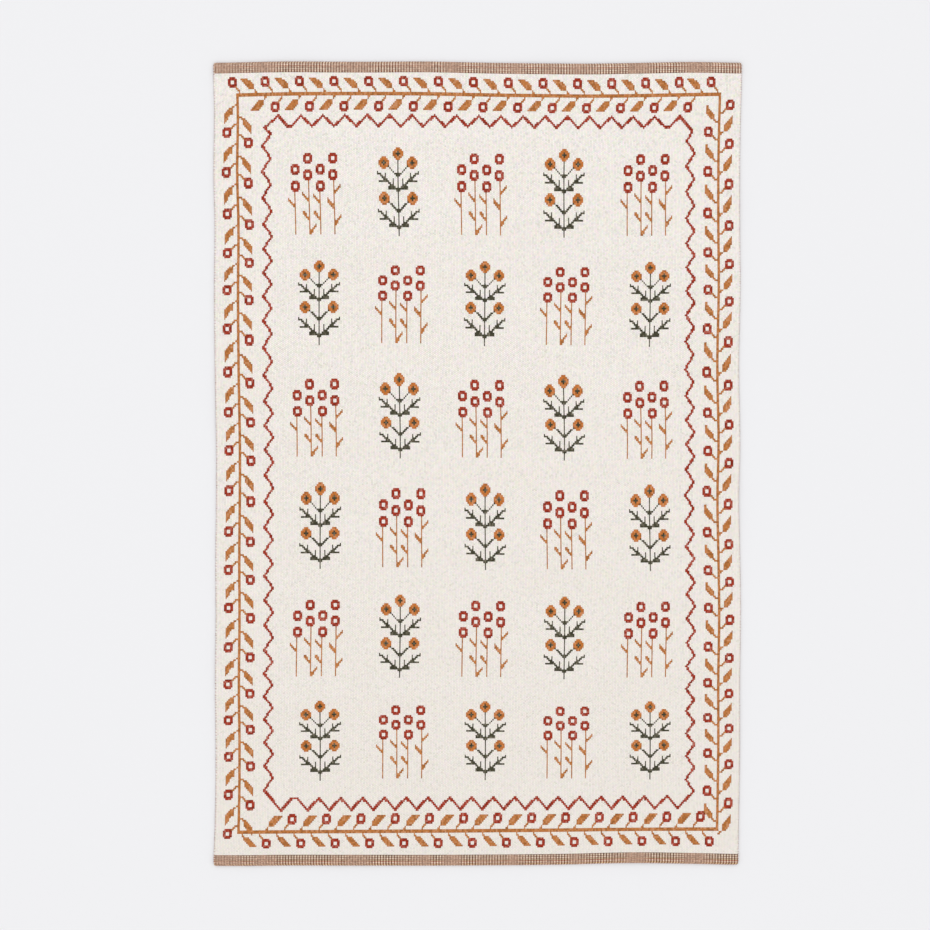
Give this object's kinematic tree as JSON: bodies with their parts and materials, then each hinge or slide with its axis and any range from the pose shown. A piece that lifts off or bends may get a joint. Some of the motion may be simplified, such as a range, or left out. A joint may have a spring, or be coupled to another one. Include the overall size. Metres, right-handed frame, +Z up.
{
  "type": "flatweave wool rug",
  "caption": "Flat rectangular woven wool rug with end bands turned under as hems, a leaf and berry border, a zigzag line and rows of small flower sprigs.",
  "frame": {"origin": "middle of the rug's underside, on the floor", "axes": "+Y along the length, towards the end that the sprigs point to, +X to the right seen from above, +Z up out of the face side"},
  "size_m": [1.6, 2.437, 0.0078],
  "materials": {
    "cream_wool": "flatwoven undyed wool, matt, with faint flecks of the coloured yarns",
    "rust_wool": "flatwoven dyed wool, matt, heathered",
    "ochre_wool": "flatwoven dyed wool, matt, heathered",
    "green_wool": "flatwoven dyed wool, matt, heathered"
  },
  "bodies": {
    "root": {"rug": "cream_wool"}
  },
  "joints": []
}
